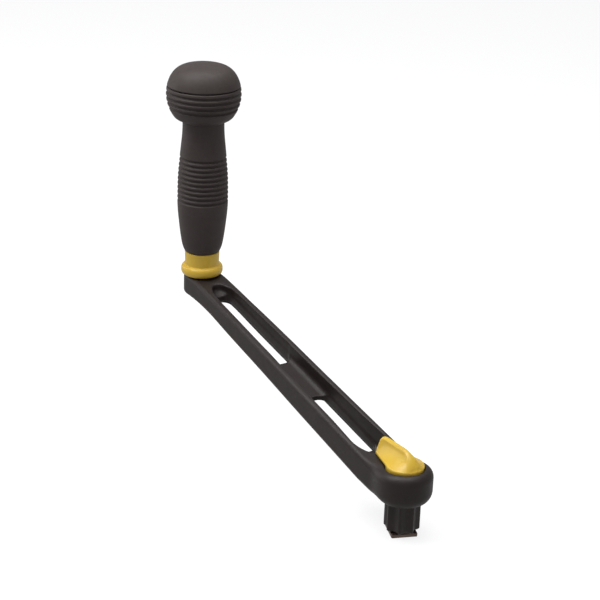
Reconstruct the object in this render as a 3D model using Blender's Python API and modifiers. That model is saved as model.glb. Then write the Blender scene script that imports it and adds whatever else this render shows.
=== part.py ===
"""Lock-in winch handle, 10 inch, with a ball-top grip.

Frame: the origin is on the drive axis, in the plane of the head's underside where the spigot
leaves it.  +X runs along the arm towards the grip, +Z runs up along the grip, away from the
winch.  The drive spigot and its lock plate reach below z = 0.
"""
import math

import bmesh
import bpy

MM = 0.001                     # every dimension below is in millimetres
GAP = 0.3                      # clearance between neighbouring pieces

# ---- driving dimensions -------------------------------------------------------------------
ARM_REACH = 254.0              # drive axis to grip axis: a 10 inch handle
STAR_SIZE = 17.46              # across flats of each of the star's two squares (11/16 inch)
STAR_TIP_R = 11.8              # radius to the blunted points of the star
STAR_LEN = 21.2                # star below the head
PLATE_T = 2.5                  # lock plate thickness
PLATE_LOW = -24.0              # underside of the lock plate
LOCK_ANGLE = 22.5              # how far the plate stands out of line when locked

HEAD_R = 19.0
HEAD_TOP = 22.3
HEAD_ROUND_LOW = 8.0           # height of the head's soft lower edge
HEAD_ROUND_IN = 6.3            # its width, which leaves a flat shoulder round the spigot
HEAD_ROUND_TOP = 4.5
RECESS_R = 13.2                # round recess for the lever
RECESS_FLOOR = 12.0
STAR_SEAT = 9.0                # depth of the star socket moulded in the head

BOSS_R = 13.5
BOSS_LOW = 55.3
BOSS_TOP = 71.0
HALF_W_HEAD = 16.8             # half width of the arm at the drive axis
HALF_W_GRIP = 13.4             # half width of the arm at the grip axis
TOP_SLOPE = 0.220              # the arm's top line
TOP_AT_0 = 28.4 - 0.220 * 49.8
LOW_SLOPE = 0.250              # the arm's bottom line
LOW_AT_0 = 14.2 - 0.250 * 71.6
RAIL_W = 4.6                   # wall of the arm's channel
CHANNEL_X0 = 24.6              # its round end near the head
CHANNEL_X1 = 233.5             # its narrowing end near the grip
CHANNEL_TAPER = 28.5           # length over which it narrows there
UNDER_END = 233.0              # grip end of the shallow channel underneath
WEB_LOW = 3.0                  # underside of the web above the arm's bottom line
WEB_TOP = 6.5                  # top of the web above the arm's bottom line
WINDOWS = ((44.0, 107.5, 9.9, 9.6), (142.0, 228.0, 8.9, 7.3))   # x0, x1, half widths there
WINDOW_CORNER = 4.5

SPINDLE_R = 5.0
SPINDLE_TOP = 206.8
COLLAR_TOP = 89.1
GRIP_LOW = 89.4
BALL_Z = 208.5
BALL_R = 27.1
NECK_Z = 188.0
CAP_Z = 214.0                  # joint between ball and cap
DOME_H = 21.1                  # the flattened top of the ball, above its middle
GRIP_TOP = BALL_Z + DOME_H
RIB_TOP, RIB_PITCH, RIB_GROOVES = 161.05, 3.507, 10
RING_TOP, RING_PITCH, RING_GROOVES = 214.0, 3.78, 5

LEVER_R = 12.5
LEVER_LOW = 18.0
LEVER_LIP = 24.6
LEVER_TAB_LOW = 22.95
LEVER_TIP_X = 25.0
LEVER_RIDGE = 35.1
SHAFT_R = 3.7
INNER_STEPS = 16               # facets round the hidden pieces

# ---- housekeeping -------------------------------------------------------------------------
for old in list(bpy.data.objects):
    bpy.data.objects.remove(old, do_unlink=True)

PARTS = bpy.data.collections.new("winch_handle")
CUTTERS = bpy.data.collections.new("cutters")
bpy.context.scene.collection.children.link(PARTS)
bpy.context.scene.collection.children.link(CUTTERS)


def material(name, color, rough, metal=0.0):
    m = bpy.data.materials.get(name)
    if m is None:
        m = bpy.data.materials.new(name)
        m.use_nodes = True
        bsdf = m.node_tree.nodes["Principled BSDF"]
        bsdf.inputs["Base Color"].default_value = (*color, 1.0)
        bsdf.inputs["Roughness"].default_value = rough
        bsdf.inputs["Metallic"].default_value = metal
    return m


COMPOSITE = ("composite_black", (0.036, 0.031, 0.031), 0.52)
ALLOY = ("drive_black", (0.030, 0.026, 0.026), 0.38)
SOFT = ("grip_black", (0.040, 0.035, 0.034), 0.62)
YELLOW = ("yellow_plastic", (0.66, 0.40, 0.045), 0.38)
STEEL = ("stainless", (0.60, 0.60, 0.60), 0.28, 1.0)
BRONZE = ("plate_bronze", (0.22, 0.17, 0.15), 0.42, 1.0)
ACETAL = ("acetal_white", (0.75, 0.75, 0.72), 0.40)
NYLON = ("core_grey", (0.10, 0.10, 0.11), 0.50)
RUBBER = ("seal_black", (0.02, 0.02, 0.02), 0.60)


def make(name, mesh, col, mat=None):
    ob = bpy.data.objects.new(name, mesh)
    col.objects.link(ob)
    if col is CUTTERS:
        ob.hide_render = True
        ob.display_type = "WIRE"
    if mat:
        mesh.materials.append(material(*mat))
    return ob


def smooth(ob, angle=38.0):
    ob.data.shade_smooth()
    ob.data.set_sharp_from_angle(angle=math.radians(angle))


def turned(name, profile, steps, col, mat=None, at=(0.0, 0.0), closed=True):
    """A turned shape about a vertical axis.  The profile is (r, z), down its outer side.
    A closed profile is a ring; an open one starts and ends on the axis."""
    me = bpy.data.meshes.new(name)
    verts = [(r * MM, 0.0, z * MM) for r, z in profile]
    edges = [(i, i + 1) for i in range(len(verts) - 1)]
    if closed:
        edges.append((len(verts) - 1, 0))
    me.from_pydata(verts, edges, [])
    ob = make(name, me, col, mat)
    ob.location = (at[0] * MM, at[1] * MM, 0.0)
    sc = ob.modifiers.new("Screw", "SCREW")
    sc.axis = "Z"
    sc.angle = 2.0 * math.pi
    sc.steps = steps
    sc.render_steps = steps
    sc.use_merge_vertices = True
    sc.merge_threshold = 0.000001
    sc.use_smooth_shade = True
    return ob


def prism(name, outline, z0, z1, col, mat=None, upright=False):
    """A flat outline made thick: a 2D curve, filled and extruded, then made a mesh.
    upright puts the outline in the X-Z plane and the thickness along Y."""
    cu = bpy.data.curves.new(name, "CURVE")
    cu.dimensions = "2D"
    cu.fill_mode = "BOTH"
    cu.extrude = abs(z1 - z0) * 0.5 * MM
    sp = cu.splines.new("POLY")
    sp.points.add(len(outline) - 1)
    for p, (x, y) in zip(sp.points, outline):
        p.co = (x * MM, y * MM, 0.0, 1.0)
    sp.use_cyclic_u = True
    tmp = bpy.data.objects.new(name + "_curve", cu)
    bpy.context.scene.collection.objects.link(tmp)
    if upright:
        tmp.rotation_euler = (math.pi / 2.0, 0.0, 0.0)
        tmp.location = (0.0, (z0 + z1) * 0.5 * MM, 0.0)
    else:
        tmp.location = (0.0, 0.0, (z0 + z1) * 0.5 * MM)
    bpy.context.view_layer.update()
    dg = bpy.context.evaluated_depsgraph_get()
    me = bpy.data.meshes.new_from_object(tmp.evaluated_get(dg))
    me.transform(tmp.matrix_world)
    bpy.data.objects.remove(tmp, do_unlink=True)
    bm = bmesh.new()
    bm.from_mesh(me)
    bmesh.ops.remove_doubles(bm, verts=bm.verts, dist=0.000001)
    bmesh.ops.dissolve_limit(bm, angle_limit=math.radians(0.5), verts=bm.verts, edges=bm.edges)
    bmesh.ops.recalc_face_normals(bm, faces=bm.faces)
    bm.to_mesh(me)
    bm.free()
    me.name = name
    me.materials.clear()
    return make(name, me, col, mat)


def cylinder(name, r, z0, z1, col, mat=None, at=(0.0, 0.0), sides=24, turn=0.0):
    me = bpy.data.meshes.new(name)
    bm = bmesh.new()
    bmesh.ops.create_cone(bm, cap_ends=True, segments=sides, radius1=r * MM, radius2=r * MM,
                          depth=abs(z1 - z0) * MM)
    bm.to_mesh(me)
    bm.free()
    ob = make(name, me, col, mat)
    ob.location = (at[0] * MM, at[1] * MM, (z0 + z1) * 0.5 * MM)
    ob.rotation_euler = (0.0, 0.0, math.radians(turn))
    return ob


def cross_cylinder(name, r, y0, y1, z, col, mat=None, sides=16):
    """A cylinder along Y."""
    ob = cylinder(name, r, 0.0, abs(y1 - y0), col, mat, sides=sides)
    ob.rotation_euler = (math.pi / 2.0, 0.0, 0.0)
    ob.location = (0.0, (y0 + y1) * 0.5 * MM, z * MM)
    return ob


def boolean(ob, other, how="DIFFERENCE"):
    m = ob.modifiers.new(how.title() + "_" + other.name, "BOOLEAN")
    m.operation = how
    m.solver = "EXACT"
    m.object = other
    return m


def arc(cx, cy, r, a0, a1, n):
    return [(cx + r * math.cos(math.radians(a0 + (a1 - a0) * i / n)),
             cy + r * math.sin(math.radians(a0 + (a1 - a0) * i / n))) for i in range(n + 1)]


def rounded_strip(x0, x1, h0, h1, corner, n=4):
    """Plan outline of a strip about the X axis, half widths h0 and h1, rounded corners."""
    c0, c1 = min(corner, h0 - 0.01), min(corner, h1 - 0.01)
    pts = arc(x1 - c1, h1 - c1, c1, 0, 90, n)
    pts += arc(x0 + c0, h0 - c0, c0, 90, 180, n)
    pts += arc(x0 + c0, -h0 + c0, c0, 180, 270, n)
    pts += arc(x1 - c1, -h1 + c1, c1, 270, 360, n)
    return pts


def star(grow=0.0):
    """Two squares at 45 degrees, with blunted points: the standard winch drive."""
    a = STAR_SIZE / 2.0 + grow
    tip = STAR_TIP_R + grow
    half = math.degrees(math.acos(a / tip))          # flat of one side ends here
    root = a / math.cos(math.radians(24.0)) + 0.07   # the inner corners are slightly filled
    pts = []
    for k in range(8):
        mid = 45.0 * k
        for da in (-(45.0 - half), 45.0 - half):
            t = math.radians(mid + da)
            pts.append((tip * math.cos(t), tip * math.sin(t)))
        for da in (21.0, 24.0):
            t = math.radians(mid + da)
            pts.append((root * math.cos(t), root * math.sin(t)))
    return pts


def half_width(x):
    return HALF_W_HEAD + (HALF_W_GRIP - HALF_W_HEAD) * x / ARM_REACH


def channel_plan():
    """Plan outline of the channel: a round end at the head, and an end that narrows at the grip."""
    r0 = half_width(CHANNEL_X0 + 12.0) - RAIL_W
    side = [(CHANNEL_X0 + r0 - r0 * math.cos(math.radians(a)), r0 * math.sin(math.radians(a)))
            for a in (8, 24, 40, 56, 72, 90)]
    x_t = CHANNEL_X1 - CHANNEL_TAPER
    w_t = half_width(x_t) - RAIL_W
    for s in (0.0, 0.3, 0.52, 0.7, 0.84, 0.94, 0.99):
        side.append((x_t + CHANNEL_TAPER * s, w_t * (1.0 - s ** 2.6) ** (1.0 / 2.6)))
    return side + [(x, -y) for x, y in reversed(side)]


def low_line(x):
    return LOW_AT_0 + LOW_SLOPE * x


def top_line(x):
    return TOP_AT_0 + TOP_SLOPE * x


def shear(ob, slope):
    """Lean a prism so that its ends follow the arm's slope; its walls stay upright."""
    for v in ob.data.vertices:
        v.co.z += slope * v.co.x
    ob.data.update()


# ============================================================================================
# Crank arm: a tapered, sloped beam joined to a round head and a round grip boss
# ============================================================================================
x_flat = (HEAD_TOP - TOP_AT_0) / TOP_SLOPE            # where the top line meets the head's rim
x_boss_low = (BOSS_LOW - LOW_AT_0) / LOW_SLOPE
x_boss_top = (BOSS_TOP - 0.05 - TOP_AT_0) / TOP_SLOPE
side = [(5.0, 5.0), (14.0, 2.6), (25.0, low_line(25.0)), (x_boss_low, BOSS_LOW + 0.05),
        (ARM_REACH, BOSS_LOW + 0.05), (ARM_REACH, BOSS_TOP - 0.05),
        (x_boss_top, BOSS_TOP - 0.05), (x_flat, HEAD_TOP - 0.05),
        (5.0, HEAD_TOP - 0.05)]
arm = prism("crank_arm", side, -1.0, 1.0, PARTS, COMPOSITE, upright=True)
for v in arm.data.vertices:
    v.co.y *= half_width(v.co.x / MM)
arm.data.update()
weights = arm.data.attributes.new("bevel_weight_edge", "FLOAT", "EDGE")
for e in arm.data.edges:
    a, b = (arm.data.vertices[i].co for i in e.vertices)
    along = abs(a.x - b.x) > 4.0 * MM and a.y * b.y > 0.0
    if along:
        mid_x = (a.x + b.x) * 0.5 / MM
        mid_z = (a.z + b.z) * 0.5 / MM
        upper = mid_z > (low_line(mid_x) + top_line(mid_x)) * 0.5
        weights.data[e.index].value = 0.62 if upper else 1.0
bev = arm.modifiers.new("Bevel", "BEVEL")
bev.limit_method = "WEIGHT"
bev.width = 4.0 * MM
bev.segments = 3
bev.use_clamp_overlap = True

head_profile = [(0.0, HEAD_TOP)]
head_profile += arc(HEAD_R - HEAD_ROUND_TOP, HEAD_TOP - HEAD_ROUND_TOP, HEAD_ROUND_TOP, 90, 0, 4)
head_profile += [(HEAD_R + (r - HEAD_ROUND_LOW) * HEAD_ROUND_IN / HEAD_ROUND_LOW, z)
                 for r, z in arc(0.0, HEAD_ROUND_LOW, HEAD_ROUND_LOW, 0, -90, 5)]
head_profile += [(0.0, 0.0)]
head = turned("head_body", head_profile, 32, CUTTERS, closed=False)

boss_profile = [(0.0, BOSS_TOP)]
boss_profile += arc(BOSS_R - 1.6, BOSS_TOP - 1.6, 1.6, 90, 0, 2)
boss_profile += arc(BOSS_R - 4.0, BOSS_LOW + 4.0, 4.0, 0, -90, 3)
boss_profile += [(0.0, BOSS_LOW)]
boss = turned("boss_body", boss_profile, 28, CUTTERS, at=(ARM_REACH, 0.0), closed=False)

boolean(arm, head, "UNION")
boolean(arm, boss, "UNION")

# channel above the web
channel = prism("channel_cut", channel_plan(), LOW_AT_0 + WEB_TOP, LOW_AT_0 + WEB_TOP + 40.0, CUTTERS)
shear(channel, LOW_SLOPE)
boolean(arm, channel)
# shallow channel under the web
under = prism("underside_cut", rounded_strip(36.0, UNDER_END, half_width(36.0) - RAIL_W,
                                             half_width(UNDER_END) - RAIL_W, 6.0, 3),
              LOW_AT_0 - 40.0, LOW_AT_0 + WEB_LOW, CUTTERS)
shear(under, LOW_SLOPE)
boolean(arm, under)
for i, (x0, x1, h0, h1) in enumerate(WINDOWS):
    w = prism("window_cut_%d" % (i + 1), rounded_strip(x0, x1, h0, h1, WINDOW_CORNER, 4),
              -20.0, 100.0, CUTTERS)
    boolean(arm, w)
# lever recess, star socket, bush hole and the spring's lower hole in the head
boolean(arm, cylinder("recess_cut", RECESS_R, RECESS_FLOOR, 40.0, CUTTERS, sides=36))
boolean(arm, prism("star_socket_cut", star(GAP), -5.0, STAR_SEAT, CUTTERS))
boolean(arm, cylinder("bush_hole_cut", 6.3, 5.0, 15.0, CUTTERS, sides=24))
SPRING_R, SPRING_A0 = 9.6, 22.5
leg0 = (SPRING_R * math.cos(math.radians(SPRING_A0)), SPRING_R * math.sin(math.radians(SPRING_A0)))
boolean(arm, cylinder("leg_hole_cut", 0.9, 10.3, 15.0, CUTTERS, at=leg0, sides=12))
# spindle hole and nut counterbore in the boss
boolean(arm, turned("spindle_hole_cut", [(0.0, 80.0), (SPINDLE_R + GAP, 80.0),
                                         (SPINDLE_R + GAP, 63.5), (8.6, 63.5), (8.6, 50.0),
                                         (0.0, 50.0)], 24, CUTTERS, at=(ARM_REACH, 0.0),
                    closed=False))
smooth(arm, 32.0)

# ============================================================================================
# Drive spigot with the lock shaft's bore
# ============================================================================================
spigot = prism("drive_spigot", star(), -STAR_LEN, STAR_SEAT - GAP, PARTS, ALLOY)
w = spigot.data.attributes.new("bevel_weight_edge", "FLOAT", "EDGE")
for e in spigot.data.edges:
    a, b = (spigot.data.vertices[i].co for i in e.vertices)
    if max(a.z, b.z) < (-STAR_LEN + 0.1) * MM:
        w.data[e.index].value = 1.0
bev = spigot.modifiers.new("Bevel", "BEVEL")
bev.limit_method = "WEIGHT"
bev.width = 1.3 * MM
bev.segments = 1
boolean(spigot, cylinder("shaft_bore_cut", 4.4, -40.0, 20.0, CUTTERS, sides=24))

# ============================================================================================
# Lock group: lever, shaft, pin, plate and screw
# ============================================================================================
hub_profile = [(0.0, 24.2), (11.9, 24.2), (LEVER_R, 23.6), (LEVER_R, LEVER_LOW + 0.4),
               (LEVER_R - 0.4, LEVER_LOW), (0.0, LEVER_LOW)]
hub = turned("lever_hub", hub_profile, 32, CUTTERS, closed=False)


def lever_half_width(x):
    """The fin's foot: round at the hub, then straight to the tip, tangent to the hub."""
    if x < 3.3:
        return math.sqrt(max(12.2 ** 2 - x * x, 0.0))
    s = (x - 3.3) / (LEVER_TIP_X - 3.3)
    return 11.75 * (1.0 - s) + 5.7 * s


def lever_ridge(x):
    """Height of the thumb fin: a quick rise from the rear rim, then level, then a soft nose."""
    if x < 2.0:
        s = (x + 11.6) / 13.6
        return LEVER_LIP + 0.3 + (LEVER_RIDGE - LEVER_LIP - 0.3) * (1.0 - (1.0 - s) ** 3.3)
    if x > LEVER_TIP_X - 3.0:
        s = (x - LEVER_TIP_X + 3.0) / 3.0
        return LEVER_RIDGE - 1.3 * s * s
    return LEVER_RIDGE


def lever_section(x):
    b, top = lever_half_width(x), lever_ridge(x)
    crest = min(2.1 + 0.75 * max(b - 2.6, 0.0) * max(-1.0 - x, 0.0) / 10.6, b * 0.85)
    right = [(b, LEVER_TAB_LOW), (b, LEVER_LIP - 0.5), (b - 0.4, LEVER_LIP)]
    for i in range(1, 6):
        s = i / 5.0
        y = crest + (b - 0.4 - crest) * (1.0 - s) ** 1.9
        right.append((y, LEVER_LIP + (top - 0.7 - LEVER_LIP) * s))
    right.append((crest * 0.55, top))
    return right + [(-y, z) for y, z in reversed(right)]


stations = [-11.6, -10.8, -9.6, -7.8, -5.0, -1.5, 3.0, 8.0, 13.0, 18.0, 22.0, 23.8, LEVER_TIP_X]
bm = bmesh.new()
rings = []
for x in stations:
    rings.append([bm.verts.new((x * MM, y * MM, z * MM)) for y, z in lever_section(x)])
for a, b in zip(rings, rings[1:]):
    n = len(a)
    for i in range(n):
        bm.faces.new((a[i], a[(i + 1) % n], b[(i + 1) % n], b[i]))
bm.faces.new(list(reversed(rings[0])))
bm.faces.new(rings[-1])
bmesh.ops.recalc_face_normals(bm, faces=bm.faces)
me = bpy.data.meshes.new("lock_lever")
bm.to_mesh(me)
bm.free()
lever = make("lock_lever", me, PARTS, YELLOW)
boolean(lever, hub, "UNION")
boolean(lever, cylinder("lever_bore_cut", SHAFT_R + GAP, 10.0, 23.8, CUTTERS, sides=24))
boolean(lever, cross_cylinder("lever_pin_cut", 1.25 + GAP, -16.0, 10.6, 20.8, CUTTERS))
TURNS = 2.25
a1 = math.radians(SPRING_A0 + 360.0 * TURNS)
leg1 = (SPRING_R * math.cos(a1), SPRING_R * math.sin(a1))
boolean(lever, cylinder("leg_hole_up_cut", 0.9, 10.0, 21.0, CUTTERS, at=leg1, sides=12))
smooth(lever, 35.0)

shaft = turned("lock_shaft", [(0.0, 23.4), (SHAFT_R - 0.4, 23.4), (SHAFT_R, 23.0), (SHAFT_R, 5.9),
                              (2.7, 5.9), (2.7, 4.1), (SHAFT_R, 4.1), (SHAFT_R, -21.1),
                              (0.0, -21.1)], INNER_STEPS, PARTS, STEEL, closed=False)
tang = cylinder("tang", 2.5 * math.sqrt(2.0), -22.1, -15.0, CUTTERS, sides=4,
                turn=45.0 - LOCK_ANGLE)
boolean(shaft, tang, "UNION")
boolean(shaft, cross_cylinder("shaft_pin_cut", 1.25 + GAP, -8.0, 8.0, 20.8, CUTTERS))
boolean(shaft, cylinder("shaft_thread_cut", 1.8, -30.0, -11.0, CUTTERS, sides=12))

cross_cylinder("lever_pin", 1.25, -10.3, 10.3, 20.8, PARTS, STEEL)

me = bpy.data.meshes.new("lock_plate")
bm = bmesh.new()
bmesh.ops.create_cube(bm, size=1.0)
bmesh.ops.scale(bm, vec=(STAR_SIZE * MM, STAR_SIZE * MM, PLATE_T * MM), verts=bm.verts)
bm.to_mesh(me)
bm.free()
plate = make("lock_plate", me, PARTS, BRONZE)
plate.location = (0.0, 0.0, (PLATE_LOW + PLATE_T / 2.0) * MM)
plate.rotation_euler = (0.0, 0.0, math.radians(-LOCK_ANGLE))
bev = plate.modifiers.new("Bevel", "BEVEL")
bev.width = 0.55 * MM
bev.segments = 2
bev.limit_method = "ANGLE"
sink = turned("countersink_cut", [(0.0, PLATE_LOW + 1.6), (2.3, PLATE_LOW + 1.6), (4.5, PLATE_LOW + 0.1),
                                  (4.5, PLATE_LOW - 2.0), (0.0, PLATE_LOW - 2.0)], 24, CUTTERS,
              closed=False)
boolean(plate, sink)
boolean(plate, cylinder("tang_hole_cut", 2.8 * math.sqrt(2.0), -22.9, -19.0, CUTTERS, sides=4,
                        turn=45.0 - LOCK_ANGLE))

screw = turned("plate_screw", [(0.0, -12.0), (1.5, -12.0), (1.5, -22.7), (2.1, -22.8),
                               (3.7, PLATE_LOW + 0.15), (0.0, PLATE_LOW + 0.15)], INNER_STEPS, PARTS, STEEL,
               closed=False)
boolean(screw, cylinder("plate_screw_socket_cut", 1.35, -26.0, -23.1, CUTTERS, sides=6))

# ============================================================================================
# In the head: shaft bush, seal, spring seat and spring
# ============================================================================================
turned("shaft_bush", [(7.6, 13.4), (7.6, RECESS_FLOOR + GAP), (6.0, RECESS_FLOOR + GAP), (6.0, 9.0),
                      (SHAFT_R + GAP, 9.0), (SHAFT_R + GAP, 13.4)], INNER_STEPS, PARTS, ACETAL)
SEAL_MAJOR, SEAL_MINOR = 3.5, 0.55
seal = turned("shaft_seal", [(SEAL_MAJOR + SEAL_MINOR * math.cos(math.radians(90 - 45 * i)),
                              5.0 + SEAL_MINOR * math.sin(math.radians(90 - 45 * i)))
                             for i in range(8)], INNER_STEPS, PARTS, RUBBER)
seat = turned("spring_seat", [(12.6, 13.0), (12.6, RECESS_FLOOR + GAP), (8.0, RECESS_FLOOR + GAP),
                              (8.0, 13.0)], 20, PARTS, STEEL)
boolean(seat, cylinder("seat_hole_cut", 0.9, 10.0, 15.0, CUTTERS, at=leg0, sides=12))

WIRE_R = 0.5
cu = bpy.data.curves.new("lock_spring", "CURVE")
cu.dimensions = "3D"
cu.bevel_depth = WIRE_R * MM
cu.bevel_resolution = 2
cu.use_fill_caps = True
pts = [(leg0[0], leg0[1], 10.7), (leg0[0], leg0[1], 13.2)]
N_COIL = 28
Z_COIL0, Z_COIL1 = 13.9, 16.7
for i in range(1, N_COIL):
    s = i / N_COIL
    t = math.radians(SPRING_A0 + 360.0 * TURNS * s)
    pts.append((SPRING_R * math.cos(t), SPRING_R * math.sin(t), Z_COIL0 + (Z_COIL1 - Z_COIL0) * s))
pts += [(leg1[0], leg1[1], 17.0), (leg1[0], leg1[1], 20.4)]
sp = cu.splines.new("POLY")
sp.points.add(len(pts) - 1)
for p, c in zip(sp.points, pts):
    p.co = (c[0] * MM, c[1] * MM, c[2] * MM, 1.0)
spring = bpy.data.objects.new("lock_spring", cu)
PARTS.objects.link(spring)
cu.materials.append(material(*STEEL))

# ============================================================================================
# Grip axle and its fixings
# ============================================================================================
GX = (ARM_REACH, 0.0)
spindle = turned("grip_spindle", [(0.0, SPINDLE_TOP), (SPINDLE_R - 0.5, SPINDLE_TOP),
                                  (SPINDLE_R, SPINDLE_TOP - 0.5), (SPINDLE_R, 74.0), (9.0, 74.0),
                                  (9.0, BOSS_TOP + GAP), (SPINDLE_R, BOSS_TOP + GAP),
                                  (SPINDLE_R, 63.8), (4.0, 63.8), (4.0, 57.9), (3.5, 57.4),
                                  (0.0, 57.4)], INNER_STEPS, PARTS, STEEL, at=GX, closed=False)
boolean(spindle, cylinder("spindle_thread_cut", 3.0, 190.0, 220.0, CUTTERS, at=GX, sides=16))
turned("spindle_washer", [(8.1, 63.2), (8.1, 62.0), (4.3, 62.0), (4.3, 63.2)], INNER_STEPS, PARTS, STEEL,
       at=GX)
nut = cylinder("spindle_nut", 7.5, 57.6, 61.7, PARTS, STEEL, at=GX, sides=6)
boolean(nut, cylinder("nut_thread_cut", 4.3, 50.0, 70.0, CUTTERS, at=GX, sides=16))
turned("retaining_washer", [(9.2, 208.6), (9.2, 207.1), (3.1, 207.1), (3.1, 208.6)], INNER_STEPS, PARTS,
       STEEL, at=GX)
rscrew = turned("retaining_screw", [(0.0, 212.2), (3.2, 212.2), (5.2, 210.6), (5.2, 208.9),
                                    (2.7, 208.9), (2.7, 192.0), (0.0, 192.0)], INNER_STEPS, PARTS, STEEL,
                at=GX, closed=False)
boolean(rscrew, cylinder("retaining_screw_socket_cut", 2.3, 210.2, 215.0, CUTTERS, at=GX, sides=6))

# yellow collar: a plain sleeve with a rounded bead at its foot
bead = [(12.5, 78.9)]
for a in (62, 40, 18, -5, -28, -50, -70):
    c, d = math.cos(math.radians(a)), math.sin(math.radians(a))
    bead.append((12.3 + 3.1 * abs(c) ** 0.8, 75.0 + 3.7 * math.copysign(abs(d) ** 0.8, d)))
collar_profile = [(12.7, COLLAR_TOP)] + bead + [(11.4, BOSS_TOP + GAP), (9.4, BOSS_TOP + GAP),
                                               (9.4, 74.4), (5.4, 74.4), (5.4, COLLAR_TOP)]
turned("collar_bush", collar_profile, 28, PARTS, YELLOW, at=GX)
turned("thrust_washer", [(9.8, COLLAR_TOP + 1.3), (9.8, COLLAR_TOP + GAP), (5.4, COLLAR_TOP + GAP),
                         (5.4, COLLAR_TOP + 1.3)],
       INNER_STEPS, PARTS, ACETAL, at=GX)

# ============================================================================================
# Turning grip
# ============================================================================================
CORE_R = 10.0
turned("lower_bush", [(9.2, 92.1), (9.2, 90.7), (5.35, 90.7), (5.35, 103.1), (7.0, 103.1),
                      (7.0, 92.1)], INNER_STEPS, PARTS, ACETAL, at=GX)
turned("upper_bush", [(9.2, 206.8), (9.2, 205.4), (7.0, 205.4), (7.0, 192.0), (5.35, 192.0),
                      (5.35, 206.8)], INNER_STEPS, PARTS, ACETAL, at=GX)
turned("grip_core", [(CORE_R, 205.1), (CORE_R, 92.4), (7.3, 92.4), (7.3, 205.1)], INNER_STEPS, PARTS, NYLON,
       at=GX)


def body_radius(z):
    """The hand grip's outline: full at its lower third, slim below and at the neck."""
    pts = ((89.4, 12.7), (90.6, 13.5), (92.2, 14.15), (94.0, 14.7), (96.9, 15.3), (100.9, 16.0),
           (104.8, 16.5), (108.7, 17.0), (112.6, 17.4), (116.5, 17.85), (120.4, 18.2), (124.2, 18.45),
           (128.0, 18.57), (136.0, 18.57), (140.0, 18.5), (147.3, 18.3), (151.1, 18.0), (154.9, 17.7),
           (158.7, 17.3), (162.5, 16.95), (166.3, 16.6), (170.0, 16.2), (173.8, 15.8), (177.5, 15.4),
           (181.3, 15.2), (185.0, 15.1), (192.0, 15.1))
    for (z0, r0), (z1, r1) in zip(pts, pts[1:]):
        if z0 <= z <= z1:
            return r0 + (r1 - r0) * (z - z0) / (z1 - z0)
    return pts[0][1] if z < pts[0][0] else pts[-1][1]


sleeve = [(15.1, NECK_Z - GAP)]
for z in (183.0, 177.5, 172.0, 166.5):
    sleeve.append((body_radius(z), z))
for k in range(RIB_GROOVES):
    zc = RIB_TOP + 0.0 - RIB_PITCH * k
    r = body_radius(zc)
    sleeve += [(r + 0.1, zc + 1.0), (r - 0.8, zc), (r + 0.1, zc - 1.0)]
for z in (124.2, 118.0, 112.0, 106.0, 100.5, 95.5, 92.2, 90.4):
    sleeve.append((body_radius(z), z))
sleeve += [(12.5, GRIP_LOW), (CORE_R + GAP, GRIP_LOW), (CORE_R + GAP, NECK_Z - GAP)]
turned("grip_sleeve", sleeve, 20, PARTS, SOFT, at=GX)


def ball_radius(z):
    d = z - BALL_Z
    return math.sqrt(max(BALL_R ** 2 - d * d, 0.0))


ball = [(ball_radius(CAP_Z - 0.2) - 0.7, CAP_Z - 0.2), (ball_radius(CAP_Z - 1.0), CAP_Z - 1.0)]
for k in range(1, RING_GROOVES):
    zc = RING_TOP - RING_PITCH * k
    r = ball_radius(zc)
    ball += [(ball_radius(zc + 1.0), zc + 1.0), (r - 0.8, zc), (ball_radius(zc - 1.0), zc - 1.0)]
ball += [(ball_radius(195.6), 195.6), (ball_radius(193.2), 193.2), (21.1, 191.4), (19.2, 190.1), (17.2, 189.2),
         (15.6, 188.6), (15.2, NECK_Z), (CORE_R + GAP, NECK_Z), (CORE_R + GAP, 202.0), (17.5, 207.0),
         (17.5, CAP_Z - 0.2)]
turned("grip_ball", ball, 24, PARTS, SOFT, at=GX)

cap = [(r, BALL_Z + DOME_H * (1.0 - (r / BALL_R) ** 3.9) ** (1.0 / 1.85))
       for r in (0.0, 7.0, 12.0, 15.5, 18.2, 20.5, 22.4, 24.0, 25.2, 26.0)]
cap += [(26.3, CAP_Z + 0.9), (25.6, CAP_Z + 0.15), (17.1, CAP_Z + 0.15), (17.1, 209.5),
        (14.6, 209.5), (14.6, 216.0), (20.5, 216.0), (18.5, 221.5), (13.0, 225.0), (6.0, 226.2),
        (0.0, 226.4)]
turned("grip_cap", cap, 24, PARTS, SOFT, at=GX, closed=False)
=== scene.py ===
"""Looks for the winch handle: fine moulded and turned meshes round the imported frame, with
procedural materials, a plain pale floor and soft light.

Lengths below are in millimetres in the row's frame and become metres when a mesh is made: the
origin is on the drive axis at the head's underside, +X runs towards the grip, +Z runs up.
"""

import math

import bpy
import numpy as np
from mathutils import Matrix, Vector


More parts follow.
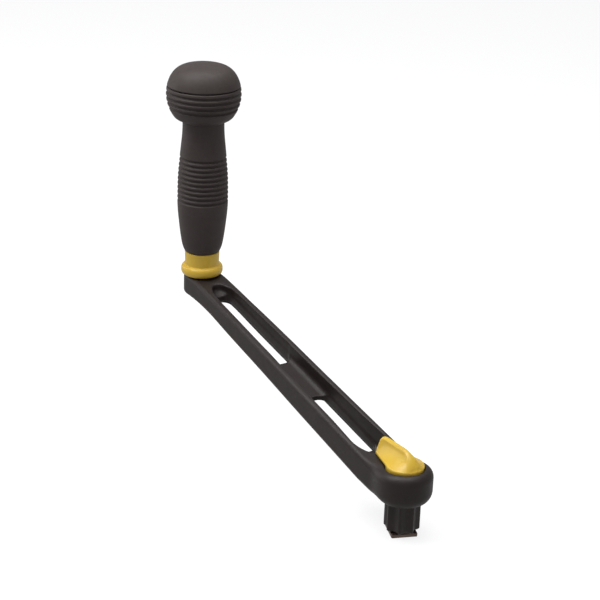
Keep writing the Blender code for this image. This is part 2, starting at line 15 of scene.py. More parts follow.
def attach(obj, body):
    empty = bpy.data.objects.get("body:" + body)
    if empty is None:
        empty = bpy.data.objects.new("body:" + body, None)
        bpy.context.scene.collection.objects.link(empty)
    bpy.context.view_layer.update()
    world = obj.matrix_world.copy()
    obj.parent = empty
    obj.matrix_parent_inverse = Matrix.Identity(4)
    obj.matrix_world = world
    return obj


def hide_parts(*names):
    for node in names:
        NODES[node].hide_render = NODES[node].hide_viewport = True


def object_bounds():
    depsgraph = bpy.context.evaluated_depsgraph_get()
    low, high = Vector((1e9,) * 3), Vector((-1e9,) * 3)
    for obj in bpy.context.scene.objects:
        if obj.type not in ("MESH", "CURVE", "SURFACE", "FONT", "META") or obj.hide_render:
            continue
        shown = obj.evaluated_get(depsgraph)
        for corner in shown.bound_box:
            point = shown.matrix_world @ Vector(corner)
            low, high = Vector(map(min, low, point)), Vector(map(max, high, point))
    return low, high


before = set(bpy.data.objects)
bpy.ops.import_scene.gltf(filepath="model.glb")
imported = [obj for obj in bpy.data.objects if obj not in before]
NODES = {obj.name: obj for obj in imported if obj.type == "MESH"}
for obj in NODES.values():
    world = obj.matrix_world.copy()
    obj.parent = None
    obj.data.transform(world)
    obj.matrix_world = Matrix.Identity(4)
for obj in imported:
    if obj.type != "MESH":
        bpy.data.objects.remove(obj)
CAD_LO, CAD_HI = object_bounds()
MM = 0.001
GX = 254.0                      # grip axis

# ============================================================================================
# Camera, floor and light
# ============================================================================================
cam_data = bpy.data.cameras.new("camera")
cam_data.lens = 100.57
cam_data.sensor_width = 36.0
cam_data.sensor_fit = "HORIZONTAL"
cam_data.clip_start, cam_data.clip_end = 0.05, 60.0
cam = bpy.data.objects.new("camera", cam_data)
bpy.context.scene.collection.objects.link(cam)
cx, cy, cz = (-0.55906, -0.82851, 0.03194), (0.32548, -0.18388, 0.92750), (-0.76257, 0.52892, 0.37246)
rot = Matrix(((cx[0], cy[0], cz[0]), (cx[1], cy[1], cz[1]), (cx[2], cy[2], cz[2])))
cam.matrix_world = Matrix.Translation((-0.7466, 0.6042, 0.5200)) @ rot.to_4x4()
bpy.context.scene.camera = cam
bpy.context.scene.view_settings.view_transform = "Standard"
bpy.context.scene.view_settings.look = "None"

FLOOR_Z = CAD_LO.z - 0.0003


def add(nt, kind, **inputs):
    n = nt.nodes.new(kind)
    for key, value in inputs.items():
        n.inputs[key.replace("_", " ")].default_value = value
    return n


def floor_material():
    m = bpy.data.materials.new("floor_white")
    m.use_nodes = True
    nt = m.node_tree
    b = nt.nodes["Principled BSDF"]
    b.inputs["Base Color"].default_value = (0.20, 0.20, 0.20, 1.0)
    b.inputs["Roughness"].default_value = 0.75
    b.inputs["Specular IOR Level"].default_value = 0.2
    b.inputs["Emission Color"].default_value = (1.0, 1.0, 1.0, 1.0)
    b.inputs["Emission Strength"].default_value = 0.80
    # seen from below, the floor is clear, so the underside can be looked at
    geo = nt.nodes.new("ShaderNodeNewGeometry")
    clear = nt.nodes.new("ShaderNodeBsdfTransparent")
    mix = nt.nodes.new("ShaderNodeMixShader")
    # the floor lights the object less than its white would, as a studio sweep does
    dim = nt.nodes.new("ShaderNodeEmission")
    dim.inputs["Strength"].default_value = 0.62
    seen = nt.nodes.new("ShaderNodeLightPath")
    pick = nt.nodes.new("ShaderNodeMixShader")
    nt.links.new(seen.outputs["Is Camera Ray"], pick.inputs[0])
    nt.links.new(dim.outputs[0], pick.inputs[1])
    nt.links.new(b.outputs[0], pick.inputs[2])
    nt.links.new(geo.outputs["Backfacing"], mix.inputs[0])
    nt.links.new(pick.outputs[0], mix.inputs[1])
    nt.links.new(clear.outputs[0], mix.inputs[2])
    nt.links.new(mix.outputs[0], nt.nodes["Material Output"].inputs["Surface"])
    return m


floor_mesh = bpy.data.meshes.new("floor")
ring = [(7.0 * math.cos(math.tau * i / 64), 7.0 * math.sin(math.tau * i / 64), FLOOR_Z) for i in range(64)]
floor_mesh.from_pydata(ring, [], [tuple(range(64))])
floor_mesh.materials.append(floor_material())
floor = bpy.data.objects.new("floor", floor_mesh)
bpy.context.scene.collection.objects.link(floor)

world = bpy.data.worlds.new("studio")
bpy.context.scene.world = world
world.use_nodes = True
wt = world.node_tree
bg = wt.nodes["Background"]
wc = wt.nodes.new("ShaderNodeTexCoord")
ws = wt.nodes.new("ShaderNodeSeparateXYZ")
wr = wt.nodes.new("ShaderNodeValToRGB")
wr.color_ramp.elements[0].position = 0.0
wr.color_ramp.elements[0].color = (0.33, 0.322, 0.315, 1.0)
wr.color_ramp.elements[1].position = 0.9
wr.color_ramp.elements[1].color = (0.46, 0.47, 0.51, 1.0)
wt.links.new(wc.outputs["Generated"], ws.inputs[0])
wt.links.new(ws.outputs["Z"], wr.inputs[0])
wt.links.new(wr.outputs[0], bg.inputs["Color"])
bg.inputs["Strength"].default_value = 1.0
# the backdrop itself is plain white
white = wt.nodes.new("ShaderNodeBackground")
white.inputs["Color"].default_value = (1.0, 1.0, 1.0, 1.0)
path = wt.nodes.new("ShaderNodeLightPath")
wmix = wt.nodes.new("ShaderNodeMixShader")
wt.links.new(path.outputs["Is Camera Ray"], wmix.inputs[0])
wt.links.new(bg.outputs[0], wmix.inputs[1])
wt.links.new(white.outputs[0], wmix.inputs[2])
wt.links.new(wmix.outputs[0], wt.nodes["World Output"].inputs["Surface"])

CENTRE = Vector((0.13, 0.0, 0.10))


def soft_box(name, place, size, watts):
    lamp = bpy.data.lights.new(name, "AREA")
    lamp.shape = "RECTANGLE"
    lamp.size, lamp.size_y = size
    lamp.energy = watts
    ob = bpy.data.objects.new(name, lamp)
    ob.location = place
    ob.rotation_euler = (CENTRE - Vector(place)).to_track_quat("-Z", "Y").to_euler()
    bpy.context.scene.collection.objects.link(ob)
    return ob


soft_box("key", (0.40, 0.60, 1.25), (0.7, 0.7), 13.0)
soft_box("top", (0.10, -0.15, 1.45), (1.1, 0.9), 15.5)
soft_box("fill", (1.35, 0.80, 0.40), (0.9, 0.9), 4.5)


# ============================================================================================
# Materials.  Texture scales are per metre: 1000 is a millimetre.
# ============================================================================================
def noise(nt, coord, scale, detail=3.0, rough=0.55, stretch=None):
    n = add(nt, "ShaderNodeTexNoise", Scale=scale, Detail=detail, Roughness=rough)
    src = coord
    if stretch:
        mp = nt.nodes.new("ShaderNodeMapping")
        mp.inputs["Scale"].default_value = stretch
        nt.links.new(coord, mp.inputs["Vector"])
        src = mp.outputs[0]
    nt.links.new(src, n.inputs["Vector"])
    return n.outputs["Fac"]


def ramp(nt, fac, stops):
    r = nt.nodes.new("ShaderNodeValToRGB")
    els = r.color_ramp.elements
    while len(els) < len(stops):
        els.new(0.5)
    for e, (pos, col) in zip(els, stops):
        e.position = pos
        e.color = (*col, 1.0) if len(col) == 3 else col
    nt.links.new(fac, r.inputs[0])
    return r.outputs[0]


def span(nt, fac, lo, hi, to_lo, to_hi):
    m = nt.nodes.new("ShaderNodeMapRange")
    for i, v in enumerate((lo, hi, to_lo, to_hi)):
        m.inputs[i + 1].default_value = v
    nt.links.new(fac, m.inputs[0])
    return m.outputs[0]


def math_node(nt, op, a, b):
    n = nt.nodes.new("ShaderNodeMath")
    n.operation = op
    for i, v in enumerate((a, b)):
        if isinstance(v, (int, float)):
            n.inputs[i].default_value = v
        else:
            nt.links.new(v, n.inputs[i])
    return n.outputs[0]


def moulded(name, colour, rough, mottle=0.10, grain=1800.0, grain_depth=0.00002, coarse=0.00004,
            coarse_scale=260.0, spec=0.5, scuff=0.0, coat=0.0, metal=0.0, sheen=0.0, subsurface=0.0):
    """Moulded or cast surface: mottled colour, uneven gloss, a fine grain and a faint waviness."""
    m = bpy.data.materials.new(name)
    m.use_nodes = True
    nt = m.node_tree
    b = nt.nodes["Principled BSDF"]
    co = nt.nodes.new("ShaderNodeTexCoord").outputs["Object"]
    cloud = noise(nt, co, 75.0, 4.0, 0.6)
    speck = noise(nt, co, 1400.0, 2.0, 0.5)
    mix = math_node(nt, "ADD", math_node(nt, "MULTIPLY", cloud, 0.7), math_node(nt, "MULTIPLY", speck, 0.3))
    low = tuple(c * (1.0 - mottle) for c in colour)
    high = tuple(min(c * (1.0 + mottle) + 0.002, 1.0) for c in colour)
    colour_out = ramp(nt, mix, [(0.32, low), (0.68, high)])
    rough_fac = noise(nt, co, 190.0, 5.0, 0.65)
    rough_out = span(nt, rough_fac, 0.3, 0.7, rough - 0.05, rough + 0.06)
    if scuff:
        # rubbed marks: short fine streaks, a little paler and shinier, in patches
        streak = noise(nt, co, 900.0, 2.0, 0.4, stretch=(0.12, 1.0, 0.5))
        patch = noise(nt, co, 45.0, 2.0, 0.5)
        mark = math_node(nt, "MULTIPLY", span(nt, streak, 0.62, 0.74, 0.0, 1.0),
                         span(nt, patch, 0.50, 0.66, 0.0, 1.0))
        mixc = nt.nodes.new("ShaderNodeMix")
        mixc.data_type = "RGBA"
        nt.links.new(math_node(nt, "MULTIPLY", mark, scuff), mixc.inputs[0])
        nt.links.new(colour_out, mixc.inputs[6])
        mixc.inputs[7].default_value = (*[min(c * 2.4 + 0.03, 1.0) for c in colour], 1.0)
        colour_out = mixc.outputs[2]
        rough_out = math_node(nt, "SUBTRACT", rough_out, math_node(nt, "MULTIPLY", mark, 0.10))
    nt.links.new(colour_out, b.inputs["Base Color"])
    nt.links.new(rough_out, b.inputs["Roughness"])
    fine = noise(nt, co, grain, 3.0, 0.6)
    wave = noise(nt, co, coarse_scale, 2.0, 0.5)
    bump1 = nt.nodes.new("ShaderNodeBump")
    bump1.inputs["Strength"].default_value = 1.0
    bump1.inputs["Distance"].default_value = coarse
    nt.links.new(wave, bump1.inputs["Height"])
    bump2 = nt.nodes.new("ShaderNodeBump")
    bump2.inputs["Strength"].default_value = 1.0
    bump2.inputs["Distance"].default_value = grain_depth
    nt.links.new(fine, bump2.inputs["Height"])
    nt.links.new(bump1.outputs[0], bump2.inputs["Normal"])
    nt.links.new(bump2.outputs[0], b.inputs["Normal"])
    b.inputs["Specular IOR Level"].default_value = spec
    b.inputs["Metallic"].default_value = metal
    if coat:
        b.inputs["Coat Weight"].default_value = coat
        b.inputs["Coat Roughness"].default_value = 0.25
    if sheen:
        b.inputs["Sheen Weight"].default_value = sheen
        b.inputs["Sheen Roughness"].default_value = 0.5
    if subsurface:
        b.inputs["Subsurface Weight"].default_value = subsurface
        b.inputs["Subsurface Radius"].default_value = (0.004, 0.002, 0.0008)
    return m


def turned_steel(name, colour, rough, axis_x=0.0, rings=2600.0):
    """Machined metal: fine turning marks along the axis, with faint stains."""
    m = bpy.data.materials.new(name)
    m.use_nodes = True
    nt = m.node_tree
    b = nt.nodes["Principled BSDF"]
    co = nt.nodes.new("ShaderNodeTexCoord").outputs["Object"]
    stain = noise(nt, co, 160.0, 4.0, 0.6)
    nt.links.new(ramp(nt, stain, [(0.3, tuple(c * 0.78 for c in colour)), (0.7, colour)]), b.inputs["Base Color"])
    nt.links.new(span(nt, stain, 0.3, 0.7, rough + 0.10, rough - 0.04), b.inputs["Roughness"])
    marks = noise(nt, co, rings, 2.0, 0.5, stretch=(0.08, 0.08, 1.0))
    bump = nt.nodes.new("ShaderNodeBump")
    bump.inputs["Strength"].default_value = 0.6
    bump.inputs["Distance"].default_value = 0.00002
    nt.links.new(marks, bump.inputs["Height"])
    nt.links.new(bump.outputs[0], b.inputs["Normal"])
    b.inputs["Metallic"].default_value = 1.0
    return m


COMPOSITE = moulded("composite_black", (0.0170, 0.0119, 0.0103), 0.46, mottle=0.14, grain=2300.0,
                    grain_depth=0.000022, coarse=0.00003, spec=0.26, scuff=0.25)
ALLOY = moulded("drive_black", (0.0150, 0.0100, 0.0083), 0.38, mottle=0.16, grain=1700.0,
                grain_depth=0.000020, coarse=0.00002, spec=0.28, scuff=0.4)
SOFT = moulded("grip_black", (0.0345, 0.0255, 0.0230), 0.58, mottle=0.10, grain=2900.0,
               grain_depth=0.00003, coarse=0.00002, spec=0.30, sheen=0.0)
YELLOW = moulded("yellow_plastic", (0.540, 0.352, 0.026), 0.38, mottle=0.06, grain=1900.0,
                 grain_depth=0.000010, coarse=0.00003, scuff=0.0, subsurface=0.06)
BRONZE = moulded("plate_bronze", (0.115, 0.083, 0.068), 0.42, mottle=0.22, grain=1200.0,
                 grain_depth=0.00002, coarse=0.00002, metal=0.85)
ACETAL = moulded("acetal_white", (0.70, 0.70, 0.66), 0.38, mottle=0.04, grain=2000.0, grain_depth=0.00001)
NYLON = moulded("core_grey", (0.085, 0.085, 0.092), 0.48, mottle=0.12)
RUBBER = moulded("seal_black", (0.018, 0.018, 0.018), 0.60, mottle=0.10, grain=2600.0)
STEEL = turned_steel("stainless", (0.56, 0.56, 0.55), 0.26)


# ============================================================================================
# Mesh tools
# ============================================================================================
def to_object(name, verts, faces, mat, smooth=True):
    """verts in millimetres; faces is a list of arrays of quads or triangles."""
    me = bpy.data.meshes.new(name)
    v = np.asarray(verts, np.float64) * MM
    counts = np.concatenate([np.full(len(f), f.shape[1]) for f in faces])
    loops = np.concatenate([f.ravel() for f in faces]).astype(np.int32)
    me.vertices.add(len(v))
    me.vertices.foreach_set("co", v.astype(np.float32).ravel())
    me.loops.add(len(loops))
    me.loops.foreach_set("vertex_index", loops)
    me.polygons.add(len(counts))
    starts = np.concatenate([[0], np.cumsum(counts)[:-1]]).astype(np.int32)
    me.polygons.foreach_set("loop_start", starts)
    me.update(calc_edges=True)
    me.validate()
    if smooth:
        me.shade_smooth()
    me.materials.append(mat)
    ob = bpy.data.objects.new(name, me)
    bpy.context.scene.collection.objects.link(ob)
    return ob


def volume(verts, faces):
    total = 0.0
    for f in faces:
        for k in range(1, f.shape[1] - 1):
            a, b, c = verts[f[:, 0]], verts[f[:, k]], verts[f[:, k + 1]]
            total += np.einsum("ij,ij->i", a, np.cross(b, c)).sum() / 6.0
    return total


def lathe(name, profile, mat, steps=144, at=0.0, ring=True):
    """A turned mesh from (r, z) points.  ring joins the last point to the first."""
    pts = np.array(profile, float)
    n = len(pts)
    ang = np.arange(steps) * math.tau / steps
    verts, index = [], np.empty((n, steps), int)
    for i, (r, z) in enumerate(pts):
        if r < 1e-6:
            index[i] = len(verts)
            verts.append((at, 0.0, z))
        else:
            index[i] = len(verts) + np.arange(steps)
            verts += list(zip(at + r * np.cos(ang), r * np.sin(ang), np.full(steps, z)))
    verts = np.array(verts, float)
    quads, tris = [], []
    pairs = [(i, i + 1) for i in range(n - 1)] + ([(n - 1, 0)] if ring else [])
    for i, j in pairs:
        a, b = index[i], index[j]
        a2, b2 = np.roll(a, -1), np.roll(b, -1)
        if pts[i, 0] < 1e-6 and pts[j, 0] < 1e-6:
            continue
        if pts[i, 0] < 1e-6:
            tris.append(np.stack([a, b, b2], 1))
        elif pts[j, 0] < 1e-6:
            tris.append(np.stack([a, b, a2], 1))
        else:
            quads.append(np.stack([a, b, b2, a2], 1))
    faces = []
    if quads:
        faces.append(np.concatenate(quads))
    if tris:
        faces.append(np.concatenate(tris))
    if volume(verts, faces) < 0.0:
        faces = [f[:, ::-1] for f in faces]
    return to_object(name, verts, faces, mat)


def rounded(points, n=5, closed=True):
    """(r, z, fillet) corners to a smooth outline."""
    out = []
    count = len(points)
    for i, (x, y, rad) in enumerate(points):
        if rad <= 0.0 or (not closed and i in (0, count - 1)):
            out.append((x, y))
            continue
        p = np.array((x, y))
        a = np.array(points[i - 1][:2]) - p
        b = np.array(points[(i + 1) % count][:2]) - p
        la, lb = np.linalg.norm(a), np.linalg.norm(b)
        a, b = a / la, b / lb
        half = math.acos(max(-1.0, min(1.0, float(a @ b)))) / 2.0
        d = min(rad / math.tan(half), la * 0.48, lb * 0.48)
        r = d * math.tan(half)
        mid = (a + b) / np.linalg.norm(a + b)
        centre = p + mid * (r / math.sin(half))
        s, e = p + a * d - centre, p + b * d - centre
        a0, a1 = math.atan2(s[1], s[0]), math.atan2(e[1], e[0])
        while a1 - a0 > math.pi:
            a1 -= math.tau
        while a1 - a0 < -math.pi:
            a1 += math.tau
        for k in range(n + 1):
            t = a0 + (a1 - a0) * k / n
            out.append((centre[0] + r * math.cos(t), centre[1] + r * math.sin(t)))
    return out


# signed distance helpers: negative inside
def rmax(a, b, r):
    """Intersection with a round edge of radius r."""
    return np.minimum(np.maximum(a, b), -r) + np.hypot(np.maximum(a + r, 0.0), np.maximum(b + r, 0.0))


def rmin(a, b, r):
    return -rmax(-a, -b, r)


def smin(a, b, k):
    h = np.maximum(k - np.abs(a - b), 0.0) / k
    return np.minimum(a, b) - h * h * k * 0.25


def smax(a, b, k):
    return -smin(-a, -b, k)


def project(field, p, rounds, cap):
    e = 0.01
    for _ in range(rounds):
        v = field(p[:, 0], p[:, 1], p[:, 2])
        g = np.empty_like(p)
        for k in range(3):
            q1, q0 = p.copy(), p.copy()
            q1[:, k] += e
            q0[:, k] -= e
            g[:, k] = (field(*q1.T) - field(*q0.T)) / (2.0 * e)
        s = v / np.maximum((g * g).sum(1), 0.05)
        move = -g * s[:, None]
        size = np.linalg.norm(move, axis=1)
        p = p + move * np.minimum(1.0, cap / np.maximum(size, 1e-9))[:, None]
    return p, g


def moulded_mesh(name, field, lo, hi, step, mat, slope=0.0, relax=2):
    """The zero surface of a distance field as a smooth quad mesh.  slope leans the grid."""
    step = np.array(step, float)
    axes = [np.arange(lo[i], hi[i] + step[i], step[i]) for i in range(3)]
    nx, ny, nz = (len(a) for a in axes)
    val = np.empty((nx, ny, nz), np.float32)
    yy, zz = np.meshgrid(axes[1], axes[2], indexing="ij")
    for i in range(0, nx, 24):
        xs = axes[0][i:i + 24][:, None, None] + 0.0 * yy[None]
        val[i:i + 24] = field(xs, yy[None] + 0.0 * xs, zz[None] + slope * xs)
    neg = val < 0.0
    total = nx * ny * nz
    stride = np.array((ny * nz, nz, 1))
    count = np.zeros(total)
    sums = np.zeros((3, total))
    quads = []
    for ax in range(3):
        u, w = (ax + 1) % 3, (ax + 2) % 3
        s0, s1 = [slice(None)] * 3, [slice(None)] * 3
        s0[ax], s1[ax] = slice(0, -1), slice(1, None)
        idx = np.argwhere(neg[tuple(s0)] != neg[tuple(s1)])
        nxt = idx.copy()
        nxt[:, ax] += 1
        v0, v1 = val[tuple(idx.T)].astype(float), val[tuple(nxt.T)].astype(float)
        p = idx.astype(float)
        p[:, ax] += v0 / (v0 - v1)
        base = idx @ stride
        cells = [base - stride[u] - stride[w], base - stride[w], base, base - stride[u]]
        for c in cells:
            count += np.bincount(c, minlength=total)
            for k in range(3):
                sums[k] += np.bincount(c, weights=p[:, k], minlength=total)
        q = np.stack(cells, 1)
        out = v0 >= 0.0
        q[out] = q[out][:, ::-1]
        quads.append(q)
    live = np.flatnonzero(count)
    number = np.full(total, -1)
    number[live] = np.arange(len(live))
    quads = number[np.concatenate(quads)]
    p = (sums[:, live] / count[live]).T * step + np.array([a[0] for a in axes])
    p[:, 2] += slope * p[:, 0]
    cap = float(step.max())
    p, g = project(field, p, 3, cap)
    edges = np.concatenate([quads[:, (0, 1)], quads[:, (1, 2)], quads[:, (2, 3)], quads[:, (3, 0)]])
    deg = np.bincount(edges.ravel(), minlength=len(p))
    for _ in range(relax):
        mean = np.stack([np.bincount(edges[:, 0], weights=p[edges[:, 1], k], minlength=len(p))
                         + np.bincount(edges[:, 1], weights=p[edges[:, 0], k], minlength=len(p))
                         for k in range(3)], 1) / deg[:, None]
        d = mean - p
        nrm = g / np.maximum(np.linalg.norm(g, axis=1), 1e-9)[:, None]
        d -= nrm * (d * nrm).sum(1)[:, None]
        p, g = project(field, p + 0.6 * d, 1, cap)
    p, g = project(field, p, 1, cap)
    return to_object(name, p, [quads], mat)


# ============================================================================================
# The crank arm
# ============================================================================================
def low_line(x):
    return -3.7 + 0.25 * x


def star_field(x, y, grow=0.0):
    """The drive's section: two squares at 45 degrees with filled roots and blunted points."""
    a, c = 8.73 + grow, math.sqrt(0.5)
    one = np.maximum(np.abs(x), np.abs(y)) - a
    two = np.maximum(np.abs(x + y), np.abs(x - y)) * c - a
    return rmax(rmin(one, two, 0.7), np.hypot(x, y) - (11.8 + grow), 0.45)


def arm_field(x, y, z):
    ay = np.abs(y)
    w = 16.8 - 3.4 * x / 254.0
    r = np.hypot(x, y)
    low = smin(smax(low_line(x), 0.0 * x, 1.2), 55.2 + 0.0 * x, 6.0)
    low = low - 0.35 * np.exp(-((x - 105.0) / 40.0) ** 2) - 0.75 * np.exp(-((x - 195.0) / 38.0) ** 2)
    head_top = 22.3 + 0.8 * np.clip((6.0 - x) / 14.0, 0.0, 1.0)
    top = smin(smax(17.444 + 0.22 * x, head_top, 1.2), 71.0 + 0.0 * x, 2.5)
    top = top + 0.3 * np.clip((x - 110.0) / 40.0, 0.0, 1.0) * np.clip((240.0 - x) / 20.0, 0.0, 1.0)
    # plan of head and beam together, so that their coplanar tops stay level
    side = np.where(x > GX, np.hypot(np.maximum(x - GX, 0.0), y) - 13.4, ay - w)
    side = np.where(x < 0.0, r - 16.8, side)
    side = smin(side, r - 18.35, 4.0)
    near = np.clip((x - 10.0) / 14.0, 0.0, 1.0)
    round_top = 6.2 - 3.5 * near + 0.7 * np.clip((x - 180.0) / 30.0, 0.0, 1.0) * np.clip((248.0 - x) / 14.0, 0.0, 1.0)
    upper = rmax(side, (z - top) * 0.977, round_top)
    t = np.clip((x - 8.0) / 22.0, 0.0, 1.0)
    full = 1.0 - 0.2 * np.clip((x - 254.0) / 9.0, 0.0, 1.0)      # the boss's outer corner is tighter
    ra, rb = (6.3 - 2.1 * t) * full, (8.0 - 3.8 * t) * full
    na, nb = side / ra, (low - z) * 0.970 / rb
    lower = (np.minimum(np.maximum(na, nb), -1.0)
             + np.hypot(np.maximum(1.0 + na, 0.0), np.maximum(1.0 + nb, 0.0))) * (6.8 - 2.6 * t) * full
    body = np.maximum(upper, lower)
    # channel above the web: round at the head, narrowing at the grip
    wi = w - (4.2 + 0.85 * np.clip((x - 42.0) / 22.0, 0.0, 1.0) + 0.3 * np.clip((x - 110.0) / 35.0, 0.0, 1.0))
    w_end = 16.8 - 3.4 * 205.0 / 254.0 - 5.35
    g = (np.clip((x - 205.0) / 28.5, 0.0, 4.0) ** 2.6 + (ay / w_end) ** 2.6) ** (1.0 / 2.6)
    w_head = 16.8 - 3.4 * 42.0 / 254.0 - 4.2
    h = np.sqrt(((x - 42.0) / 17.4) ** 2 + (y / w_head) ** 2)
    plan = np.where(x < 42.0, (h - 1.0) * w_head, np.where(x > 205.0, (g - 1.0) * w_end, ay - wi))
    fillet = 4.6 - 0.8 * np.clip((x - 214.0) / 12.0, 0.0, 1.0)
    channel = rmax(plan, low_line(x) + 6.5 - z, fillet)
    body = rmax(body, -channel, 1.1)
    # shallow channel under the web
    under = rmax(rmax(rmax(ay - (w - 4.6), 36.0 - x, 6.0), x - 233.0, 6.0), z - (low_line(x) + 3.0), 1.2)
    body = rmax(body, -under, 1.2)
    for x0, x1, h0, h1, r0, r1 in ((44.0, 105.4, 10.4, 9.9, 4.5, 7.0), (145.2, 228.0, 9.6, 7.8, 6.5, 4.5)):
        hw = h0 + (h1 - h0) * (x - x0) / (x1 - x0)
        window = rmax(rmax(ay - hw, x0 - x, r0), x - x1, r1)
        body = rmax(body, -window, 0.75)
    # lever recess, bush hole and star socket in the head
    body = rmax(body, -rmax(r - 12.95, 12.0 - z, 0.4), 0.5)
    body = rmax(body, -np.maximum(np.maximum(r - 6.3, 5.0 - z), z - 15.0), 0.2)
    body = rmax(body, -np.maximum(star_field(x, y, 0.3), z - 9.0), 0.35)
    # spindle hole and nut counterbore in the boss
    rg = np.hypot(x - GX, y)
    body = rmax(body, -np.maximum(rg - 5.3, 60.0 - z), 0.4)
    body = rmax(body, -np.maximum(rg - 8.6, z - 63.5), 0.5)
    return body


crank_arm = moulded_mesh("arm_moulding", arm_field, (-21.0, -21.0, -6.5), (270.5, 21.0, 28.5), (0.75, 0.5, 0.5),
                         COMPOSITE, slope=0.235, relax=3)
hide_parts("crank_arm")
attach(crank_arm, "arm")


# ============================================================================================
# Drive spigot and lock plate
# ============================================================================================
def spigot_field(x, y, z):
    s = star_field(x, y)
    f = rmax(s, z - 8.7, 0.3)
    foot = -21.2 - z
    f = rmax(f, foot, 0.25)
    f = smax(f, (s + foot + 1.3) * math.sqrt(0.5), 0.25)
    return rmax(f, -(np.hypot(x, y) - 4.4), 0.25)


spigot = moulded_mesh("star_drive", spigot_field, (-13.0, -13.0, -22.4), (13.0, 13.0, 10.0), (0.36, 0.36, 0.5), ALLOY)
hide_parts("drive_spigot")
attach(spigot, "arm")


def plate_field(x, y, z):
    t = math.radians(-22.5)
    u = np.abs(x * math.cos(t) + y * math.sin(t)) - 8.73
    v = np.abs(-x * math.sin(t) + y * math.cos(t)) - 8.73
    f = rmax(u, v, 0.9)
    f = rmax(f, np.abs(z + 22.75) - 1.25, 0.45)
    r = np.hypot(x, y)
    f = rmax(f, -np.maximum(r - (2.3 + np.clip(-22.4 - z, 0.0, 3.0) * 1.47), -22.4 + 0.0 * z - 40.0), 0.15)
    tang = np.maximum(np.abs(u + 8.73), np.abs(v + 8.73)) - 2.8
    return rmax(f, -np.maximum(tang, -22.9 - z), 0.1)


plate = moulded_mesh("lock_plate_piece", plate_field, (-13.2, -13.2, -24.8), (13.2, 13.2, -20.7), (0.36, 0.36, 0.25),
                     BRONZE)
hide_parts("lock_plate")
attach(plate, "lock")


# ============================================================================================
# Lock lever: a round hub with a thumb fin scooped on both sides
# ============================================================================================
def lever_field(x, y, z):
    ay = np.abs(y)
    r = np.hypot(x, y)
    # hub with a soft lip
    hub = rmax(rmax(r - 12.5, z - 25.0, 1.15), 18.0 - z, 0.4)
    # plan of the fin's foot: round at the hub, narrowing to the tip
    s = np.clip((x - 3.3) / 21.7, 0.0, 1.3)
    foot = np.where(x < 3.3, np.sqrt(np.maximum(12.4 ** 2 - np.minimum(x, 3.3) ** 2, 0.01)), 11.95 * (1.0 - s) + 5.7 * s)
    # level crest that falls away to the rear rim, with a soft nose at the tip
    q = np.clip((x + 12.2) / 17.2, 0.0, 1.0)
    ridge = 24.9 + 10.2 * (1.0 - (1.0 - q) ** 2.8)
    ridge = ridge - 1.5 * np.clip((x - 20.5) / 4.5, 0.0, 1.2) ** 2
    crest = np.minimum(2.0 + 0.2 * np.maximum(-1.0 - x, 0.0), foot * 0.62)
    tip = np.clip((x - 20.0) / 4.2, 0.0, 1.0)
    rear = np.clip((-2.0 - x) / 9.0, 0.0, 1.0)
    power = 2.15 - 1.05 * tip * tip * (3.0 - 2.0 * tip) - 0.75 * rear
    rise = np.maximum(ridge - 24.7, 0.3)
    h = np.clip((z - 24.7) / rise, 0.0, 1.0)
    flank = ay - (crest + (foot - 0.2 - crest) * (1.0 - h) ** power)
    lean = 1.0 + power * (foot - 0.2 - crest) * (1.0 - h) ** (power - 1.0) / rise
    flank = flank / np.sqrt(lean)
    fin = rmax(flank, z - ridge, np.minimum(1.7 + 0.1 * np.maximum(-x, 0.0), crest * 0.9))
    fin = rmax(fin, 22.95 - z, 0.7)
    fin = rmax(fin, x - (25.0 - 0.04 * np.maximum(z - 26.0, 0.0)), 1.0)
    fin = np.maximum(fin, r - np.where(x < 3.3, 12.45, 99.0))
    body = smin(hub, fin, 0.6)
    body = np.maximum(body, -np.maximum(r - 4.0, z - 23.8))
    pin = np.maximum(np.hypot(x, z - 20.8) - 1.55, ay - 10.6)
    return np.maximum(body, -pin)


lever = moulded_mesh("thumb_lever", lever_field, (-13.6, -13.6, 17.0), (26.4, 13.6, 36.4), (0.36, 0.36, 0.36), YELLOW)
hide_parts("lock_lever")
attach(lever, "lock")

# ============================================================================================
# Yellow collar at the foot of the grip
# ============================================================================================
bead = []
for a in range(74, -81, -7):
    c, d = math.cos(math.radians(a)), math.sin(math.radians(a))
    bead.append((12.3 + 3.15 * c ** 0.8, 75.0 + 3.75 * math.copysign(abs(d) ** 0.8, d)))
collar = [(5.5, 88.7), (5.6, 89.0), (5.9, 89.1), (12.45, 89.1), (12.75, 88.98), (12.86, 88.7), (12.84, 88.2)]
collar += [(12.84 - 0.24 * math.sin(math.pi * 0.5 * t / 8), 88.0 - 8.6 * t / 8) for t in range(0, 9)]
collar += [(12.6, 79.15), (12.66, 78.95), (12.8, 78.8)]
collar += bead
collar += [(11.5, 71.45), (11.0, 71.3), (9.4, 71.3), (9.4, 74.4), (5.5, 74.4)]
collar_piece = lathe("collar_ring", collar, YELLOW, steps=160, at=GX)
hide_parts("collar_bush")
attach(collar_piece, "arm")

# ============================================================================================
# Grip: ribbed sleeve, ringed ball and its cap
# ============================================================================================
BODY_PTS = ((89.4, 12.75), (90.0, 13.15), (90.6, 13.5), (92.2, 14.2), (94.0, 14.75), (96.9, 15.35), (100.9, 16.0),
            (104.8, 16.5), (108.7, 17.0), (112.6, 17.42), (116.5, 17.86), (120.4, 18.22), (124.2, 18.47),
            (128.0, 18.58), (136.0, 18.58), (140.0, 18.52), (147.3, 18.32), (151.1, 18.02), (154.9, 17.7),
            (158.7, 17.32), (162.5, 16.97), (166.3, 16.6), (170.0, 16.22), (173.8, 15.8), (177.5, 15.42),
            (181.3, 15.22), (185.0, 15.12), (192.0, 15.1))
BZ = np.array([p[0] for p in BODY_PTS])
BR = np.array([p[1] for p in BODY_PTS])


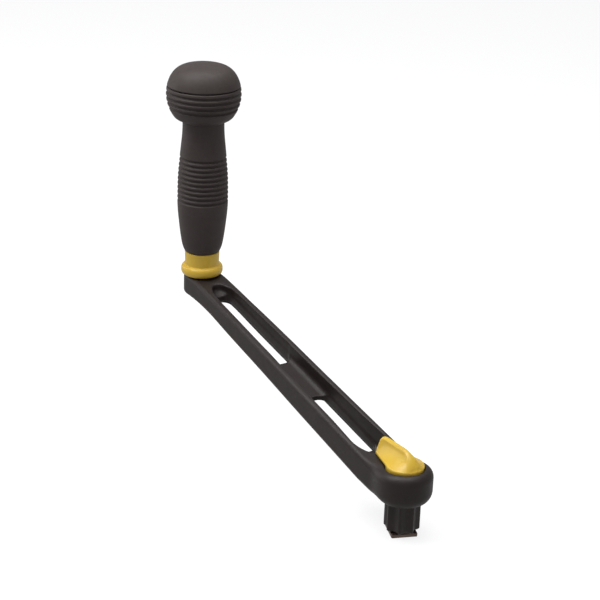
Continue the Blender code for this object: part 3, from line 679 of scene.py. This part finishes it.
def body_radius(z):
    """The outline through the points above, evened out over about 6 mm."""
    k = np.linspace(-3.0, 3.0, 13)
    wgt = np.exp(-(k / 2.0) ** 2)
    reach = np.clip((z - 89.4) / 3.0, 0.0, 1.0)
    return float((np.interp(np.clip(z + k * reach, 89.4, 192.0), BZ, BR) * wgt).sum() / wgt.sum())


def groove(z, top, pitch, count, half, depth):
    """How deep the rings cut at height z: round-bottomed grooves between full ribs."""
    d = 0.0
    for i in range(count):
        t = abs(z - (top - pitch * i)) / half
        if t < 1.0:
            d = max(d, depth * (0.5 + 0.5 * math.cos(math.pi * t)) ** 0.8)
    return d


sleeve = [(10.3, 188.4), (10.4, 188.6), (10.6, 188.7), (14.7, 188.7), (14.95, 188.6), (15.08, 188.3)]
z = 188.0
while z > 91.0:
    r = body_radius(z)
    in_ribs = 127.0 < z < 163.0
    sleeve.append((r - groove(z, 161.05, 3.507, 10, 1.40, 1.18), z))
    z -= 0.14 if in_ribs else 0.8
sleeve += [(body_radius(90.6), 90.6), (body_radius(90.0), 90.0), (12.72, 89.7), (12.5, 89.5), (12.1, 89.4),
           (10.6, 89.4), (10.4, 89.5), (10.3, 89.7)]
sleeve_piece = lathe("hand_sleeve", sleeve, SOFT, steps=160, at=GX)
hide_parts("grip_sleeve")
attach(sleeve_piece, "grip")


BALL_PTS = ((188.0, 15.2), (188.3, 15.45), (188.7, 16.1), (189.2, 17.3), (190.1, 19.2), (191.4, 21.1), (193.2, 22.4))


def ball_radius(z):
    full = math.sqrt(max(27.1 ** 2 - (z - 208.5) ** 2, 0.0))
    if z > 195.5:
        return full
    pz = [p[0] for p in BALL_PTS] + [195.5, 198.0]
    pr = [p[1] for p in BALL_PTS] + [math.sqrt(27.1 ** 2 - 13.0 ** 2), math.sqrt(27.1 ** 2 - 10.5 ** 2)]
    k = np.linspace(-0.7, 0.7, 9)
    return float(np.interp(z + k * min(max((z - 188.0) / 0.7, 0.0), 1.0), pz, pr).mean())


ball = [(17.5, 213.6), (17.6, 213.8), (ball_radius(213.8) - 1.4, 213.8), (ball_radius(213.6) - 0.8, 213.7),
        (ball_radius(213.4) - 0.35, 213.45), (ball_radius(213.1) - 0.1, 213.1)]
z = 212.9
while z > 188.4:
    r = ball_radius(z)
    in_rings = z > 197.0
    ball.append((r - groove(z, 214.0 - 3.78, 3.78, 4, 1.5, 1.3), z))
    z -= 0.14 if in_rings else 0.25
ball += [(ball_radius(188.3), 188.3), (15.25, 188.1), (15.16, 188.1), (15.14, 188.3), (15.14, 189.0), (10.5, 189.0),
         (10.3, 189.2), (10.3, 202.0), (17.5, 207.0)]
ball_piece = lathe("ball_knob", ball, SOFT, steps=176, at=GX)
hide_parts("grip_ball")
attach(ball_piece, "grip")

cap = [(0.0, 229.6)]
for i in range(1, 60):
    a = math.radians(i * 1.5)
    r, z = 27.1 * math.sin(a) ** (2.0 / 3.9), 208.5 + 21.1 * math.cos(a) ** (2.0 / 1.85)
    if z > 215.1:
        cap.append((r, z))
cap += [(26.36, 214.85), (26.28, 214.6), (26.05, 214.35), (25.6, 214.2), (24.9, 214.15), (17.1, 214.15), (17.1, 209.7),
        (16.9, 209.5), (14.8, 209.5), (14.6, 209.7), (14.6, 216.0), (20.5, 216.0), (18.5, 221.5), (13.0, 225.0),
        (6.0, 226.2), (0.0, 226.4)]
cap_piece = lathe("ball_cap", cap, SOFT, steps=176, at=GX, ring=False)
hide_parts("grip_cap")
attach(cap_piece, "grip")

# ============================================================================================
# Better materials on the pieces that stay as they are
# ============================================================================================
KEPT = {
    STEEL: ("grip_spindle", "spindle_washer", "spindle_nut", "retaining_washer", "retaining_screw", "lock_shaft",
            "lever_pin", "plate_screw", "spring_seat", "lock_spring"),
    ACETAL: ("thrust_washer", "lower_bush", "upper_bush", "shaft_bush"),
    NYLON: ("grip_core",),
    RUBBER: ("shaft_seal",),
}
for mat, names in KEPT.items():
    for n in names:
        ob = NODES[n]
        for slot in ob.material_slots:
            slot.material = mat
        if not ob.material_slots:
            ob.data.materials.append(mat)
